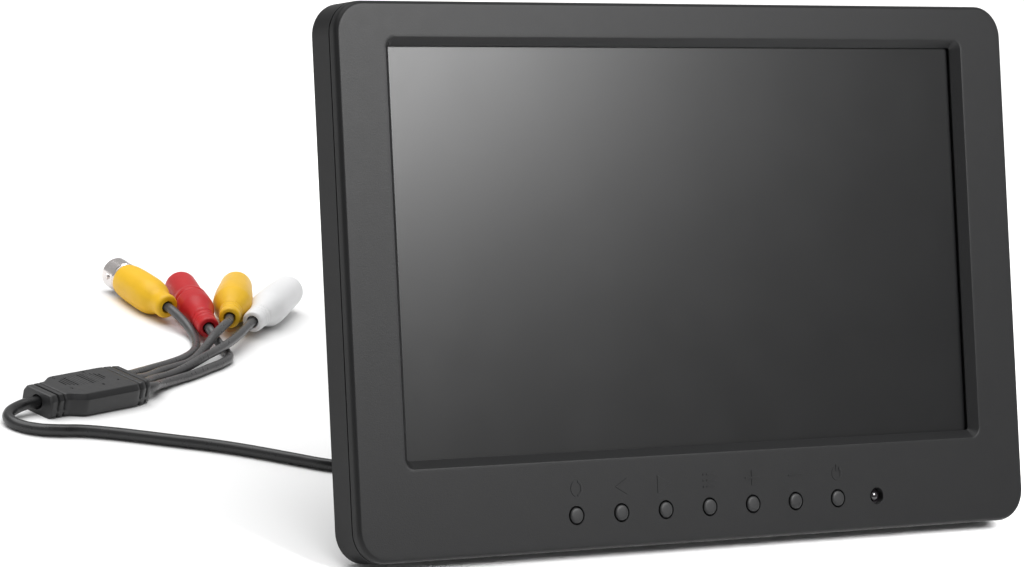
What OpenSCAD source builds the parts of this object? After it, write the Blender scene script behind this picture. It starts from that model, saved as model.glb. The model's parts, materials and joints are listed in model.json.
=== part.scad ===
// Vehicle monitor of a backup camera kit, standing on its rear leg, with its moulded audio and video harness.
// +X runs along the monitor's width, +Z is up, and the origin is under the middle of the monitor and its leg.
// Pieces of the monitor are drawn upright (front face at y = 0, bottom edge at z = 0) and then leaned back.

/* [Monitor] */
// Width of the monitor's front
case_w = 235; // [225:1:250]
// Height of the monitor's front
case_h = 150.7; // [148:0.1:156]
// Radius of the monitor's four corners
case_r = 9; // [5:0.5:12]
// Radius of the front edge, cut as three facets
edge_r = 1; // [0.4:0.1:1.4]
// Depth of the bezel at the monitor's side
bezel_d = 3.2; // [3.1:0.1:4]
// Depth of the rim, from the front face to the back plate
rim_d = 12.4; // [12.4:0.2:16]
// Height of the bulge behind the back plate
bulge_d = 16.6; // [15:0.2:20]
// Wall thickness of the rear cover
wall = 2.2; // [1.8:0.1:2.4]
// Lean of the monitor from upright, in degrees
recline = 22; // [18:1:25]

/* [Screen] */
// Width of the screen opening at the front face
opening_w = 203; // [196:1:204]
// Height of the screen opening at the front face
opening_h = 116; // [112:0.5:117]
// Height of the opening's middle above the bottom edge
opening_z = 82.8; // [82:0.1:84]
// Width of the sloping border round the screen
opening_slope = 2.2; // [1:0.1:2.4]
// Depth of the screen's glass behind the front face
glass_y = 3.6; // [3.5:0.05:3.8]

/* [Buttons] */
// Distance from one button to the next
button_pitch = 15.45; // [13:0.05:16]
// Place of the first button from the middle of the monitor
button_x = -45.6; // [-50:0.1:-44]
// Height of the buttons above the bottom edge
button_z = 9.6; // [9:0.1:10.5]
// Radius of a button's cap
button_r = 2.2; // [1.8:0.05:2.3]
// Radius of a button's hole
button_hole_r = 2.58; // [2.5:0.02:3]
// How far a cap stands out of the front face
button_proud = 0.4; // [0.2:0.05:0.8]
// How far a button travels
button_travel = 0.6; // [0.4:0.05:0.6]

/* [Leg] */
// Height of the leg's hinge above the monitor's bottom edge
hinge_z = 96; // [90:1:100]
// Opening angle of the leg from its folded place
leg_open = 39; // [34:1:42]
// Width of the leg at its hinge
leg_w = 52; // [40:1:56]
// Width of the leg at its foot
foot_w = 44; // [34:1:50]
// Radius of the hinge pin
pin_r = 1.5; // [1.2:0.1:1.8]
// Depth of the foot pad, front to back
pad_l = 12.4; // [11:0.2:14]

/* [Harness] */
// Diameter of the cable from the monitor to the splitter
cable_dia = 3.4; // [3:0.1:3.8]
// Diameter of each of the four short leads
lead_dia = 2.7; // [2.2:0.1:2.8]
// Length of the splitter block
block_l = 39.4; // [38:0.2:42]
// Width of the splitter block
block_w = 17.4; // [16:0.2:19]
// Height of the splitter block
block_h = 6.8; // [6:0.1:7.4]

/* [Hidden] */
$fn = 48;
eps = 0.01;

// Rear cover
seam = 0.3;
rear_edge = 0.8;
plate_t = 2;
bulge_w = 194;
bulge_h = 108;
bulge_z = 78;
bulge_r = 12;
bulge_y = rim_d + bulge_d;
boss_r = 3;
pilot_r = 1.35;
tongue_w = case_w - 2 * wall - 0.4;
tongue_h = case_h - 2 * wall - 0.4;
tongue_t = 1.4;
tongue_y = 6.5;
case_screw_x = 110;
case_screw_z = [13, 76, 139];

// Display stack
module_w = 211;
module_h = 126.5;
cell_w = 205;
cell_h = 118.4;
glass_t = 1.6;
module_back = 9.6;

// Main board
board_w = 120;
board_h = 72;
board_y = 15;
board_t = 1.6;
post_x = 55;
post_z = 30;
post_r = 3.2;

// Buttons and receiver
button_count = 7;
flange_r = 3.3;
flange_t = 0.8;
switch_front = bezel_d + 0.1 + flange_t + button_travel + 0.05;
switch_body_y = switch_front + 0.5;
button_board_y = 8.7;
ir_x = button_x + button_count * button_pitch - 1;
ir_hole_r = 2.4;

// Speaker
speaker_x = 75;
speaker_z = 52;
speaker_r = 13;

// Mounting inserts
insert_x = 37.5;
insert_r = 1.65;
insert_outer_r = 2.8;
insert_l = 8;

// Leg and hinge
hinge_gap = 5;
hinge_y = bulge_y + hinge_gap;
barrel_r = 4.2;
leg_t = 3.4;
leg_inset = 1;
washer_t = 0.5;
ear_t = 5;
pad_t = 3;
lift = (rim_d - rear_edge) * sin(recline);
leg_lean = leg_open - recline;
hinge_world_y = hinge_y * cos(recline) + hinge_z * sin(recline);
hinge_world_z = hinge_z * cos(recline) - hinge_y * sin(recline) + lift;
leg_mid = hinge_gap - leg_inset - leg_t / 2;
foot_world_y = hinge_world_y + hinge_world_z * tan(leg_lean) - leg_mid / cos(leg_lean);
deck_y = (edge_r * sin(recline) + foot_world_y + pad_l / 2) / 2;
leg_len = hinge_world_z / cos(leg_lean) + 6;

// Cable gland, in the monitor's upright frame
gland_x = -50;
gland_z = 40;
gland_l = 12;
gland_tip_r = 2.5;

// Splitter block: its middle, its heading, and the places of the four leads across its end
block_mid = [-124.9, 87.5];
block_turn = 16;
block_axis_z = block_h / 2;
port_across = [5.9, 2.5, -0.9, -4.3];

// Routes on the ground, between the straight ends that leave each piece
cable_route = [[-51.5, 14.5, 20.5], [-55.5, 19, 13.5], [-61, 22, 7.5], [-67.5, 24, 3.4], [-74, 26, 1.9],
    [-80, 29, 1.8], [-86, 33.5, 1.8], [-92.5, 38.5, 1.8], [-99.5, 43.5, 1.8], [-107, 48, 1.8],
    [-115, 52, 1.8], [-123, 56, 1.8], [-131.5, 60, 1.8], [-140, 63, 1.8], [-146.5, 64, 1.8],
    [-152.2, 65.6, 1.8], [-156.2, 69, 1.8], [-157.2, 73.4, 2], [-155.2, 77.2, 2.4], [-151.6, 79.6, 2.9]];
bnc_route = [[-97.5, 104, 2.4], [-89, 109, 1.6], [-81, 112.8, 1.4], [-74, 116.6, 1.4], [-67.5, 121.8, 1.4],
    [-63, 128, 1.5], [-60.4, 134.5, 2.1], [-60.2, 140.6, 3.9]];
yellow_route = [[-96.5, 100.6, 2.3], [-88.5, 106, 1.6], [-81, 109.6, 1.4], [-73.5, 113.2, 1.6],
    [-66, 118.6, 3.5], [-59.5, 123.8, 5.9], [-54.6, 127.9, 6.6]];
white_route = [[-96.3, 97.8, 2.4], [-87.5, 102.4, 1.8], [-79.5, 106.3, 2.4], [-71, 110.4, 3.9],
    [-61, 116.8, 4.3], [-50.5, 125, 4.6]];
red_route = [[-95.5, 94.4, 2.2], [-87.5, 98.9, 1.6], [-79, 103, 1.4], [-71, 107.4, 1.4], [-63.5, 111.6, 1.4],
    [-58.6, 115.8, 1.4], [-57, 120.6, 1.6], [-57.5, 124.8, 3.1]];

// Where each connector lies: the middle of its cable end, its heading on the ground and its tilt upwards
bnc_tail = [-61.5, 148.6, 5.68];
bnc_turn = 90;
bnc_tilt = 0;
yellow_tail = [-47.8, 135, 6.58];
yellow_turn = 55.2;
yellow_tilt = -1.5;
white_tail = [-39.6, 134.6, 5.26];
white_turn = 40.8;
white_tilt = 1.4;
red_tail = [-57.3, 131, 5.12];
red_turn = 73.3;
red_tilt = 1.2;
straight_in = 2.5;
straight_out = 4;

// Connector sizes
tail_r = 3.3;
bnc_body_l = 25;
bnc_body_r = 5.65;
bnc_shell_r = 4.85;
bnc_shell_l = 7;
bnc_root = 7;
bnc_cavity = 3;
phono_l = 37;
phono_sleeve_r = 4.95;
phono_mouth_r = 4.4;
phono_shell_r = 4.15;
phono_depth = 9;
phono_root = 4;
yellow_bulb_r = 6;
white_bulb_r = 5.6;
red_bulb_r = 5.4;

// A vector of length 1 at a heading on the ground and a tilt upwards
function heading(turn, tilt) = [cos(turn) * cos(tilt), sin(turn) * cos(tilt), sin(tilt)];
function unit(v) = v / norm(v);
// A point of the upright monitor in the leaned frame
function leaned(p) = [p[0], p[1] * cos(recline) + p[2] * sin(recline) - deck_y,
    p[2] * cos(recline) - p[1] * sin(recline) + lift];

block_dir = heading(block_turn, 0);
block_side = [-sin(block_turn), cos(block_turn), 0];
function on_block(along, across) = [block_mid[0], block_mid[1], block_axis_z] + along * block_dir
    + across * block_side;
gland_dir = [0, cos(recline), -sin(recline)];
gland_tip = leaned([gland_x, bulge_y + gland_l, gland_z]);

// Leans an upright piece of the monitor back
module monitor() {
    translate([0, -deck_y, lift]) rotate([-recline, 0, 0]) children();
}

// Puts the leg's own frame at its hinge: -Z runs down the open leg
module at_leg() {
    monitor() translate([0, hinge_y, hinge_z]) rotate([leg_open, 0, 0]) children();
}

// Points +Z along a heading and a tilt, from a starting point
module pointed(start, turn, tilt) {
    translate(start) rotate([0, 90 - tilt, turn]) children();
}

// A round bar along +Y
module bar_y(r, y0, y1) {
    translate([0, y0, 0]) rotate([-90, 0, 0]) cylinder(r = r, h = y1 - y0);
}

// A rounded rectangle, in X and Z, whose outline is drawn in by profile[i][0] at depth y = profile[i][1]
module soft_slab(w, h, r, z, profile) {
    last = len(profile) - 1;
    back = [for (i = [0:last]) last - i];
    translate([0, 0, z]) {
        translate([0, 0, -h / 2 + r]) linear_extrude(h - 2 * r)
            polygon(concat([for (p = profile) [w / 2 - p[0], p[1]]],
                [for (i = back) [profile[i][0] - w / 2, profile[i][1]]]));
        translate([-w / 2 + r, 0, 0]) rotate([90, 0, 90]) linear_extrude(w - 2 * r)
            polygon(concat([for (p = profile) [p[1], h / 2 - p[0]]],
                [for (i = back) [profile[i][1], profile[i][0] - h / 2]]));
        for (sx = [-1, 1], sz = [-1, 1]) translate([sx * (w / 2 - r), 0, sz * (h / 2 - r)])
            rotate([-90, 0, 0]) rotate_extrude()
                polygon(concat([[0, profile[0][1]]], [for (p = profile) [r - p[0], p[1]]],
                    [[0, profile[last][1]]]));
    }
}

// A plain slab between two depths
module slab(w, h, r, z, y0, y1) {
    soft_slab(w, h, r, z, [[0, y0], [0, y1]]);
}

// A tube of eight sides along a list of points
module swept(points, r) {
    sides = 8;
    last = len(points) - 1;
    function along(i) = unit(points[min(i + 1, last)] - points[max(i - 1, 0)]);
    function flat(i) = unit(cross(along(i), [0, 0, 1]));
    function rise(i) = cross(flat(i), along(i));
    ring = [for (i = [0:last], k = [0:sides - 1])
        points[i] + r * (cos(360 * k / sides) * flat(i) + sin(360 * k / sides) * rise(i))];
    walls = [for (i = [0:last - 1], k = [0:sides - 1])
        [i * sides + k, i * sides + (k + 1) % sides, (i + 1) * sides + (k + 1) % sides, (i + 1) * sides + k]];
    ends = [[for (k = [0:sides - 1]) sides - 1 - k], [for (k = [0:sides - 1]) last * sides + k]];
    polyhedron(points = ring, faces = concat(walls, ends));
}

module front_bezel() {
    color("#3b3c3f") monitor() difference() {
        union() {
            soft_slab(case_w, case_h, case_r, case_h / 2,
                [[edge_r, 0], [0.3 * edge_r, 0.3 * edge_r], [0, edge_r], [0, bezel_d]]);
            difference() {
                slab(tongue_w, tongue_h, case_r - wall, case_h / 2, 1, tongue_y);
                slab(tongue_w - 2 * tongue_t, tongue_h - 2 * tongue_t, case_r - wall - tongue_t, case_h / 2,
                    bezel_d, tongue_y + 1);
            }
            for (sx = [-1, 1], z = case_screw_z) translate([sx * case_screw_x, 0, z])
                bar_y(boss_r, bezel_d - 0.5, rim_d - plate_t - 0.1);
        }
        soft_slab(opening_w, opening_h, 3, opening_z, [[0, -1], [0, 0], [opening_slope, 2.4],
            [opening_slope, bezel_d + 1]]);
        for (sx = [-1, 1], z = case_screw_z) translate([sx * case_screw_x, 0, z])
            bar_y(pilot_r, bezel_d, rim_d);
        for (i = [0:button_count - 1]) translate([button_x + i * button_pitch, 0, button_z])
            bar_y(button_hole_r, -1, bezel_d + 1);
        translate([ir_x, 0, button_z]) bar_y(ir_hole_r, -1, bezel_d + 1);
    }
}

// Two groups of slots that let warm air out of the back
module vent_slots() {
    for (sx = [-1, 1], i = [0:7])
        translate([sx * (44 + i * 6) - 1.2, bulge_y - wall - 1, 92]) cube([2.4, wall + 2, 14]);
}

// A round pattern of small holes in front of the speaker
module speaker_holes() {
    for (x = [-3:3], z = [-3:3]) if (x * x + z * z < 12)
        translate([speaker_x + 3.4 * x, 0, speaker_z + 3.4 * z]) bar_y(1, bulge_y - wall - 1, bulge_y + 1);
}

// Sunk screw seats in the back plate
module screw_seats() {
    for (sx = [-1, 1], z = case_screw_z) translate([sx * case_screw_x, 0, z]) {
        bar_y(1.7, rim_d - plate_t - 1, rim_d + 1);
        translate([0, rim_d - 1.3, 0]) rotate([-90, 0, 0]) cylinder(r1 = 1.7, r2 = 3.1, h = 1.3 + eps);
    }
}

// Puts a child at each of four places round the middle of the bulge
module four(x, z) {
    for (sx = [-1, 1], sz = [-1, 1]) translate([sx * x, 0, bulge_z + sz * z]) children();
}

module rear_cover() {
    color("#37383b") monitor() difference() {
        union() {
            difference() {
                union() {
                    difference() {
                        soft_slab(case_w, case_h, case_r, case_h / 2,
                            [[0, bezel_d + seam], [0, rim_d - rear_edge], [rear_edge, rim_d]]);
                        slab(case_w - 2 * wall, case_h - 2 * wall, case_r - wall, case_h / 2, 0,
                            rim_d - plate_t);
                    }
                    soft_slab(bulge_w, bulge_h, bulge_r, bulge_z, [[0, rim_d - plate_t], [0, bulge_y - 9],
                        [1.2, bulge_y - 4], [4, bulge_y - 1], [7, bulge_y]]);
                }
                slab(bulge_w - 2 * wall, bulge_h - 2 * wall, bulge_r - wall, bulge_z, 0, bulge_y - 9);
                slab(bulge_w - 16, bulge_h - 16, bulge_r - 4, bulge_z, bulge_y - 10, bulge_y - wall);
            }
            four(post_x, post_z) bar_y(post_r, board_y + board_t + 0.05, bulge_y - 1);
            four(insert_x, insert_x) bar_y(insert_outer_r + 1.6, bulge_y - insert_l, bulge_y - 1);
        }
        vent_slots();
        speaker_holes();
        screw_seats();
        four(post_x, post_z) bar_y(pilot_r, board_y, board_y + board_t + 6);
        four(insert_x, insert_x) bar_y(insert_outer_r + 0.02, bulge_y - insert_l - 1, bulge_y + 1);
        translate([gland_x, 0, gland_z]) bar_y(4.02, bulge_y - wall - 1, bulge_y + 1);
    }
}

module lcd_glass() {
    color("#101113") monitor() slab(cell_w, cell_h, 0.5, opening_z, glass_y, glass_y + glass_t);
}

module lcd_frame() {
    color("#9a9da1") monitor() difference() {
        slab(module_w, module_h, 1.5, opening_z, glass_y, module_back);
        slab(cell_w + 0.4, cell_h + 0.4, 0.7, opening_z, glass_y - 1, module_back - 0.5);
    }
}

module backlight_unit() {
    color("#e9eaea") monitor()
        slab(cell_w, cell_h, 0.5, opening_z, glass_y + glass_t + 0.1, module_back - 0.6);
}

module foam_gasket() {
    color("#1b1b1c") monitor() difference() {
        slab(module_w - 2, module_h - 4, 1, opening_z, bezel_d + 0.05, glass_y - 0.05);
        slab(opening_w - 2 * opening_slope + 1, opening_h - 2 * opening_slope + 1, 1, opening_z,
            0, glass_y + 1);
    }
}

module main_board() {
    color("#1f6b3a") monitor() difference() {
        slab(board_w, board_h, 1, bulge_z, board_y, board_y + board_t);
        four(post_x, post_z) bar_y(1.6, board_y - 1, board_y + 3);
    }
}

// A chip, header or case that stands on the main board: its middle, width, height and depth
module on_board(x, z, w, h, d) {
    translate([x - w / 2, board_y + board_t, z - h / 2]) cube([w, d, h]);
}

module board_chips() {
    color("#232427") monitor() {
        on_board(-8, 84, 20, 20, 1.6);
        on_board(24, 88, 11, 18, 1.2);
        on_board(-42, 90, 8, 6, 1.8);
        on_board(-42, 76, 8, 6, 1.8);
        on_board(34, 62, 6, 9, 2);
        on_board(42, 90, 9, 9, 4);
    }
}

module board_capacitors() {
    color("#3a4f7a") monitor() for (i = [0:4])
        translate([-44 + 11 * i, board_y + board_t, 104]) bar_y(3.2, 0, 6.4);
}

module harness_header() {
    color("#ece8dc") monitor() on_board(gland_x, 56, 16, 5.6, 6);
}

// A flat flex between the panel and the board: a strip folded twice, drawn from the side
module lcd_flex() {
    color("#b8752a") monitor() translate([-30, 0, 0]) rotate([90, 0, 90]) linear_extrude(34)
        polygon([[module_back, 38], [module_back, 34], [module_back + 2.2, 32], [module_back + 2.2, 50],
            [board_y - 0.1, 52], [board_y - 0.1, 58], [board_y - 0.4, 58], [board_y - 0.4, 52.2],
            [module_back + 1.9, 50.2], [module_back + 1.9, 32.8], [module_back + 0.3, 34.2],
            [module_back + 0.3, 38]]);
}

module button_board() {
    color("#1f6b3a") monitor() translate([button_x - 6, button_board_y, button_z - 4.6])
        cube([ir_x - button_x + 12, 1.2, 9.2]);
}

module button_flex() {
    color("#b8752a") monitor() translate([8, 0, 0]) rotate([90, 0, 90]) linear_extrude(12)
        polygon([[button_board_y + 1.2, 7], [button_board_y + 1.5, 7], [button_board_y + 1.5, 27],
            [board_y - 0.1, 42], [board_y - 0.1, 47], [board_y - 0.4, 47], [board_y - 0.4, 42.1],
            [button_board_y + 1.2, 27.1]]);
}

module tact_switches() {
    color("#c9cbd0") monitor() for (i = [0:button_count - 1])
        translate([button_x + i * button_pitch, 0, button_z]) {
            translate([-3, switch_body_y, -3]) cube([6, button_board_y - switch_body_y, 6]);
            bar_y(1.6, switch_front, switch_body_y + 0.5);
        }
}

// A push button: a cap that stands in its hole and a flange that keeps it behind the bezel
module button(i) {
    color("#333437") monitor() translate([button_x + i * button_pitch, 0, button_z]) {
        translate([0, -button_proud, 0]) rotate([-90, 0, 0])
            cylinder(r1 = button_r - 0.3, r2 = button_r, h = 0.3);
        bar_y(button_r, 0.3 - button_proud, bezel_d + 0.1);
        bar_y(flange_r, bezel_d + 0.1, bezel_d + 0.1 + flange_t);
    }
}

module button_source() { button(0); }
module button_left() { button(1); }
module button_right() { button(2); }
module button_menu() { button(3); }
module button_plus() { button(4); }
module button_minus() { button(5); }
module button_power() { button(6); }

module ir_lens() {
    dome = [for (a = [90:-15:0]) [1.6 * cos(a), 1.6 - 1.1 * sin(a)]];
    color("#15161a") monitor() translate([ir_x, 0, button_z]) rotate([-90, 0, 0]) rotate_extrude()
        polygon(concat([[0, bezel_d]], dome, [[2.3, 1.6], [2.3, bezel_d]]));
}

module ir_receiver() {
    color("#1a1a1e") monitor() translate([ir_x - 2.8, bezel_d + 0.1, button_z - 3.2])
        cube([5.6, button_board_y - bezel_d - 0.1, 6.4]);
}

module speaker_frame() {
    color("#2a2b2d") monitor() translate([speaker_x, 0, speaker_z]) difference() {
        union() {
            bar_y(speaker_r, bulge_y - wall - 3, bulge_y - wall);
            bar_y(8, bulge_y - wall - 8, bulge_y - wall - 3);
        }
        bar_y(speaker_r - 2, bulge_y - wall - 1.6, bulge_y);
    }
}

module speaker_cone() {
    color("#4a4640") monitor() translate([speaker_x, bulge_y - wall - 1.5, speaker_z]) rotate([-90, 0, 0])
        rotate_extrude() polygon([[0, 0], [4, 0], [speaker_r - 2.2, 1], [speaker_r - 2.2, 1.3], [4, 0.4],
            [0, 0.4]]);
}

module case_screws() {
    color("#5c5e62") monitor() for (sx = [-1, 1], z = case_screw_z)
        translate([sx * case_screw_x, 0, z]) {
            bar_y(1.3, bezel_d + 0.3, rim_d - 1.3);
            translate([0, rim_d - 1.3, 0]) rotate([-90, 0, 0]) difference() {
                cylinder(r1 = 1.3, r2 = 2.8, h = 1.3);
                for (turn = [0, 90]) rotate(turn) translate([-1.4, -0.25, 0.6]) cube([2.8, 0.5, 2]);
            }
        }
}

module board_screws() {
    color("#b9bcc1") monitor() four(post_x, post_z) {
        bar_y(2.6, board_y - 1.6, board_y);
        bar_y(1.3, board_y - 1, board_y + board_t + 5);
    }
}

module mount_inserts() {
    color("#b9954e") monitor() four(insert_x, insert_x) difference() {
        bar_y(insert_outer_r, bulge_y - insert_l, bulge_y);
        bar_y(insert_r, bulge_y - insert_l - 1, bulge_y + 1);
    }
}

// Two ears on the back of the bulge that hold the hinge pin
module hinge_bracket() {
    color("#37383b") monitor() for (sx = [-1, 1])
        translate([sx * (leg_w / 2 + washer_t + 0.1 + ear_t / 2), 0, hinge_z]) difference() {
            union() {
                translate([0, hinge_y, 0]) rotate([0, 90, 0]) cylinder(r = barrel_r, h = ear_t, center = true);
                translate([-ear_t / 2, bulge_y, -barrel_r]) cube([ear_t, hinge_gap, 2 * barrel_r]);
            }
            translate([0, hinge_y, 0]) rotate([0, 90, 0])
                cylinder(r = pin_r + 0.02, h = ear_t + 1, center = true);
        }
}

module kickstand() {
    color("#333437") difference() {
        union() {
            at_leg() rotate([0, 90, 0]) cylinder(r = barrel_r, h = leg_w, center = true);
            at_leg() translate([0, leg_inset - hinge_gap + leg_t, 0]) rotate([90, 0, 0]) linear_extrude(leg_t)
                polygon([[1 - leg_w / 2, 1], [leg_w / 2 - 1, 1], [leg_w / 2 - 1, -14],
                    [foot_w / 2, -30], [foot_w / 2, -leg_len], [-foot_w / 2, -leg_len],
                    [-foot_w / 2, -30], [1 - leg_w / 2, -14]]);
            monitor() translate([-leg_w / 2 + 6, bulge_y + 0.1, hinge_z - 0.5])
                cube([leg_w - 12, hinge_gap + 0.9, 2.7]);
            translate([1 - foot_w / 2, foot_world_y - deck_y - pad_l / 2 + 1, pad_t - 1])
                cube([foot_w - 2, pad_l - 2, 5]);
        }
        at_leg() rotate([0, 90, 0]) cylinder(r = pin_r + 0.05, h = leg_w + 2, center = true);
        at_leg() translate([-foot_w / 2 + 6, leg_inset - hinge_gap + leg_t - 1, -leg_len + 22])
            cube([foot_w - 12, 2, 44]);
        translate([-50, foot_world_y - deck_y - 50, pad_t - 20]) cube([100, 100, 20]);
    }
}

module hinge_pin() {
    color("#b4b7bc") at_leg() rotate([0, 90, 0])
        cylinder(r = pin_r, h = leg_w + 2 * (washer_t + 0.1 + ear_t), center = true);
}

module hinge_washers() {
    color("#d8d8d2") for (sx = [-1, 1]) at_leg() translate([sx * (leg_w / 2 + 0.05 + washer_t / 2), 0, 0])
        rotate([0, 90, 0]) difference() {
            cylinder(r = barrel_r - 0.4, h = washer_t, center = true);
            cylinder(r = pin_r + 0.05, h = 2, center = true);
        }
}

module kickstand_pad() {
    color("#1d1d1e") translate([-foot_w / 2 + 1, foot_world_y - deck_y - pad_l / 2, 0])
        cube([foot_w - 2, pad_l, pad_t]);
}

module cable_gland() {
    color("#1f2022") monitor() translate([gland_x, 0, gland_z]) rotate([-90, 0, 0]) rotate_extrude() polygon([
        [0, bulge_y - wall - 1.5], [5.4, bulge_y - wall - 1.5], [5.4, bulge_y - wall - 0.05],
        [4, bulge_y - wall - 0.05], [4, bulge_y + 0.05], [5.2, bulge_y + 0.05], [5.2, bulge_y + 1.6],
        [3.9, bulge_y + 2.2], [gland_tip_r, bulge_y + gland_l], [0, bulge_y + gland_l]]);
}

module inner_lead() {
    start = [gland_x, bulge_y - wall - 1.5, gland_z];
    finish = [gland_x, board_y + board_t + 3, 53.2];
    color("#262629") swept([for (p = [start, start + [0, -2, 0], [gland_x, bulge_y - 6.5, gland_z + 3],
        [gland_x, bulge_y - 8.6, gland_z + 8], finish - [0, 0, 1], finish]) leaned(p)], 1.5);
}

module main_cable() {
    color("#303134") swept(concat([gland_tip, gland_tip + straight_out * gland_dir], cable_route,
        [on_block(-block_l / 2 - straight_out, 0), on_block(-block_l / 2, 0)]), cable_dia / 2);
}

// The moulded splitter: narrow at the cable end, full width in the middle, rounded in at the lead end
module splitter_block() {
    half_l = block_l / 2;
    half = block_w / 2;
    nose = half - 2.8;
    chamfer = 1.6;
    groove_w = 0.9;
    color("#2b2c2f") translate([block_mid[0], block_mid[1], 0]) rotate(block_turn) difference() {
        intersection() {
            linear_extrude(block_h) polygon([[-half_l, -nose], [-half_l + 6.6, -nose - 0.3],
                [-7, -half], [half_l - 9, -half], [half_l - 3, -half + 0.6], [half_l, -half + 1.5],
                [half_l, half - 1.5], [half_l - 3, half - 0.6], [half_l - 9, half], [-7, half],
                [-half_l + 6.6, nose + 0.3], [-half_l, nose]]);
            rotate([90, 0, 90]) translate([0, 0, -half_l]) linear_extrude(block_l)
                polygon([[-half, chamfer], [-half + 1.2, 0], [half - 1.2, 0], [half, chamfer],
                    [half, block_h - chamfer], [half - chamfer, block_h], [-half + chamfer, block_h],
                    [-half, block_h - chamfer]]);
        }
        for (x = [-half_l + 2.8, -half_l + 5.2, half_l - 5.5, half_l - 2.5]) translate([x, 0, 0]) difference() {
            cube([groove_w, block_w + 2, 3 * block_h], center = true);
            translate([0, 0, block_h / 2])
                cube([2, block_w - (x < 0 ? 7.2 : 3.4), block_h - 1.2], center = true);
        }
    }
}

// The last stretch of a lead: two points on the axis of its connector
function into(tail, turn, tilt) = [tail - straight_in * heading(turn, tilt), tail];
// The first stretch of a lead: two points on the axis of its port
function out_of(i) = [on_block(block_l / 2, port_across[i]),
    on_block(block_l / 2 + straight_out, port_across[i])];

module lead(i, route, tail, turn, tilt) {
    color("#3b3c3f") swept(concat(out_of(i), route, into(tail, turn, tilt)), lead_dia / 2);
}

module lead_bnc() { lead(0, bnc_route, bnc_tail, bnc_turn, bnc_tilt); }
module lead_yellow() { lead(1, yellow_route, yellow_tail, yellow_turn, yellow_tilt); }
module lead_white() { lead(2, white_route, white_tail, white_turn, white_tilt); }
module lead_red() { lead(3, red_route, red_tail, red_turn, red_tilt); }

module at_bnc() {
    pointed(bnc_tail, bnc_turn, bnc_tilt) children();
}

module bnc_overmould() {
    color("#e9be38") at_bnc() difference() {
        rotate_extrude() polygon([[0, 0], [tail_r, 0], [tail_r + 0.5, 1], [tail_r + 0.5, 5],
            [bnc_body_r - 1, 7.2], [bnc_body_r - 0.2, 9], [bnc_body_r, 11], [bnc_body_r, 16],
            [bnc_body_r - 0.15, bnc_body_l - 4], [bnc_body_r - 0.35, bnc_body_l - 1.2],
            [bnc_body_r - 0.65, bnc_body_l], [0, bnc_body_l]]);
        translate([0, 0, bnc_body_l - bnc_root]) cylinder(r = bnc_shell_r + 0.02, h = bnc_root + 1);
    }
}

module bnc_shell() {
    color("#c9c6c4") at_bnc() {
        difference() {
            translate([0, 0, bnc_body_l - bnc_root]) cylinder(r = bnc_shell_r, h = bnc_shell_l + bnc_root);
            translate([0, 0, bnc_body_l - bnc_cavity])
                cylinder(r = bnc_shell_r - 0.65, h = bnc_shell_l + bnc_cavity + 1);
        }
        for (turn = [0, 180]) translate([0, 0, bnc_body_l + bnc_shell_l - 3.2]) rotate([90, 0, turn])
            translate([0, 0, bnc_shell_r - 0.4]) cylinder(r = 1, h = 1);
    }
}

module bnc_insulator() {
    color("#f2f2ee") at_bnc() translate([0, 0, bnc_body_l - bnc_cavity]) difference() {
        union() {
            cylinder(r = bnc_shell_r - 0.68, h = 1.5);
            cylinder(r = 2.3, h = 7);
        }
        translate([0, 0, 1.5]) cylinder(r = 1.12, h = 8);
    }
}

module bnc_contact() {
    color("#d8b04a") at_bnc() translate([0, 0, bnc_body_l - bnc_cavity + 1.5]) difference() {
        cylinder(r = 1.1, h = 5.3);
        translate([0, 0, 0.8]) cylinder(r = 0.7, h = 6);
    }
}

// An in-line phono socket is four nested pieces, all drawn from its cable end
module phono_overmould(start, turn, tilt, bulb_r, tint) {
    color(tint) pointed(start, turn, tilt) difference() {
        rotate_extrude() polygon([[0, 0], [tail_r - 0.3, 0], [tail_r + 0.1, 1], [tail_r + 0.3, 7.5],
            [bulb_r - 1, 12.5], [bulb_r, 15], [bulb_r, 20.4], [bulb_r - 0.4, 21], [bulb_r - 0.1, 21.6],
            [bulb_r - 0.1, 23.2], [phono_sleeve_r - 0.1, 24.4], [phono_sleeve_r, phono_l - 1],
            [phono_sleeve_r - 0.3, phono_l], [0, phono_l]]);
        translate([0, 0, phono_l - phono_depth]) cylinder(r = phono_mouth_r, h = phono_depth + 1);
        translate([0, 0, phono_l - phono_depth - phono_root])
            cylinder(r = phono_shell_r + 0.02, h = phono_root + 1);
    }
}

module phono_shell(start, turn, tilt) {
    color("#c9c6c4") pointed(start, turn, tilt)
        translate([0, 0, phono_l - phono_depth - phono_root]) difference() {
            cylinder(r = phono_shell_r, h = phono_depth + phono_root + 0.4);
            translate([0, 0, phono_root]) cylinder(r = phono_shell_r - 0.45, h = phono_depth + 2);
        }
}

module phono_insulator(start, turn, tilt) {
    color("#2a2a2c") pointed(start, turn, tilt) translate([0, 0, phono_l - phono_depth]) difference() {
        cylinder(r = phono_shell_r - 0.48, h = 2);
        translate([0, 0, -1]) cylinder(r = 2.02, h = 4);
    }
}

module phono_contact(start, turn, tilt) {
    color("#d2b878") pointed(start, turn, tilt) translate([0, 0, phono_l - phono_depth]) difference() {
        cylinder(r = 2, h = phono_depth - 0.6);
        translate([0, 0, 0.6]) cylinder(r = 1.65, h = phono_depth);
    }
}

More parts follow.
